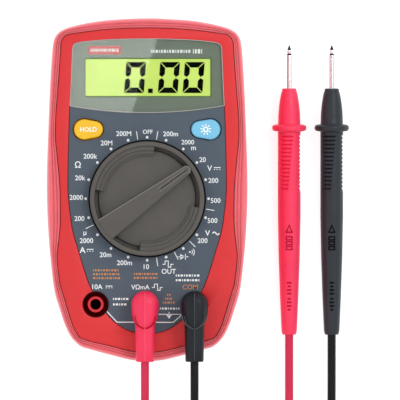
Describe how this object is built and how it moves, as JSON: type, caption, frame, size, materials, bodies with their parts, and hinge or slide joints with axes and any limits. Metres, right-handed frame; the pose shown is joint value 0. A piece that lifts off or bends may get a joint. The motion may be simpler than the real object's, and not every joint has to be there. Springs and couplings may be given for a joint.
{
  "type": "digital multimeter",
  "caption": "Palm-size digital multimeter in a rubber holster, with a rotary selector, display, push buttons, tilt stand, input jacks and a pair of test leads with needle probes.",
  "frame": {"origin": "centre of the meter's footprint, on the surface that it lies on", "axes": "+Z out of the front face, +Y towards the display end, +X to the right of someone reading the display"},
  "size_m": [0.1357, 0.2341, 0.0451],
  "materials": {
    "holster_rubber": "satin soft rubber",
    "case_plastic": "satin moulded plastic",
    "panel_plastic": "fine matte with printed legends",
    "clear_lens": "glossy clear acrylic with a tinted border",
    "white_plastic": "satin",
    "lcd_glass": "lit green-yellow liquid crystal",
    "dark_rubber": "matte",
    "circuit_board": "solder mask",
    "black_plastic": "satin",
    "steel": "bright nickel plate",
    "fuse_glass": "clear glass with metal caps",
    "brass": "plain",
    "battery_jacket": "printed foil, no marks",
    "lead_red": "satin flexible cable",
    "lead_black": "satin flexible cable",
    "knob_plastic": "fine sparked texture",
    "yellow_rubber": "satin silicone",
    "blue_rubber": "satin silicone",
    "jack_red": "insulated socket with a metal contact",
    "plug_red": "satin moulded",
    "plug_black": "satin moulded"
  },
  "bodies": {
    "meter": {"holster": "holster_rubber", "front_case": "case_plastic", "rear_case": "case_plastic", "battery_cover": "case_plastic", "front_panel": "panel_plastic", "display_lens": "clear_lens", "lcd_frame": "white_plastic", "lcd_panel": "lcd_glass", "backlight_panel": "white_plastic", "zebra_strip": "dark_rubber", "main_board": "circuit_board", "measuring_chip": "black_plastic", "buzzer": "black_plastic", "case_screw_1": "steel", "case_screw_2": "steel", "board_screw_1": "steel", "board_screw_2": "steel", "battery_cover_screw": "steel", "fuse": "fuse_glass", "fuse_clip_left": "brass", "fuse_clip_right": "brass", "shunt_wire": "brass", "battery": "battery_jacket", "battery_snap": "black_plastic", "battery_wire_red": "lead_red", "battery_wire_black": "lead_black", "stand_hinge_pin": "steel", "detent_ring": "white_plastic", "hold_dome_switch": "steel", "backlight_dome_switch": "steel", "input_jack_10a": "jack_red", "input_jack_vohm": "jack_red", "input_jack_com": "black_plastic", "red_lead_from_plug": "lead_red", "red_lead_coil": "lead_red", "red_lead_to_probe": "lead_red", "black_lead_from_plug": "lead_black", "black_lead_coil": "lead_black", "black_lead_to_probe": "lead_black", "red_probe_handle": "plug_red", "red_probe_needle": "steel", "black_probe_handle": "plug_black", "black_probe_needle": "steel"},
    "dial": {"selector_knob": "knob_plastic", "switch_rotor": "white_plastic", "detent_ball_a": "steel", "detent_ball_b": "steel", "detent_spring_a": "steel", "detent_spring_b": "steel", "wiper_spring_a": "brass", "wiper_spring_b": "brass"},
    "hold_button": {"hold_button_cap": "yellow_rubber", "hold_plunger": "black_plastic"},
    "backlight_button": {"backlight_button_cap": "blue_rubber", "backlight_plunger": "black_plastic"},
    "stand": {"tilt_stand": "case_plastic"},
    "red_plug": {"red_plug_boot": "plug_red", "red_plug_pin": "steel"},
    "black_plug": {"black_plug_boot": "plug_black", "black_plug_pin": "steel"}
  },
  "joints": [
    {"name": "dial_turn", "type": "hinge", "parent": "meter", "child": "dial", "pos_m": [0, -0.0034, 0.03], "axis": [0, 0, 1], "continuous": true},
    {"name": "hold_press", "type": "slide", "parent": "meter", "child": "hold_button", "axis": [0, 0, -1], "range_m": [0, 0.0008], "stiffness_N_per_m": 800},
    {"name": "backlight_press", "type": "slide", "parent": "meter", "child": "backlight_button", "axis": [0, 0, -1], "range_m": [0, 0.0008], "stiffness_N_per_m": 800},
    {"name": "stand_fold", "type": "hinge", "parent": "meter", "child": "stand", "pos_m": [0, 0.053, 0.005], "axis": [1, 0, 0], "range_deg": [0, 70]},
    {"name": "red_plug_pull", "type": "slide", "parent": "meter", "child": "red_plug", "axis": [0, 0, 1], "range_m": [0, 0.021]},
    {"name": "black_plug_pull", "type": "slide", "parent": "meter", "child": "black_plug", "axis": [0, 0, 1], "range_m": [0, 0.021]}
  ]
}
